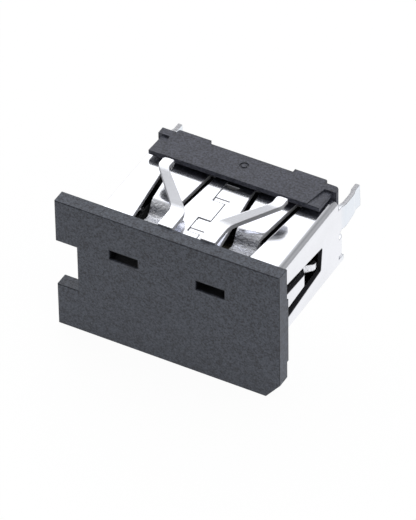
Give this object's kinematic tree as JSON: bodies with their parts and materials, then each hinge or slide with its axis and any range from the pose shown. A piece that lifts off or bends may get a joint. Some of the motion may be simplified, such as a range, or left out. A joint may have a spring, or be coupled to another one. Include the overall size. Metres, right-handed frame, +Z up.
{
  "type": "usb type-a port",
  "caption": "Short upright board port for a type-A plug: folded steel shell with plug springs and raised ground arms, moulded tongue and rear lip, solder legs and a cover over the mouth",
  "frame": {"origin": "on the board plane, where the axis of the plug meets it: midway between the shell's side walls and between its top and bottom walls", "axes": "+X to the right along the mouth's width seen from the front, +Y along the plug's path from the mouth to the board, +Z up across the mouth's height"},
  "size_m": [0.016, 0.0119, 0.0109],
  "materials": {
    "cover_plastic": "charcoal moulded plastic with a fine grain",
    "plated_steel": "bright plated sheet steel",
    "housing_plastic": "charcoal moulded plastic with a fine grain",
    "contact_metal": "gold-flashed copper alloy"
  },
  "bodies": {
    "root": {"front_cover": "cover_plastic", "shell": "plated_steel", "housing": "housing_plastic", "contact_1": "contact_metal", "contact_2": "contact_metal", "contact_3": "contact_metal", "contact_4": "contact_metal"}
  },
  "joints": []
}
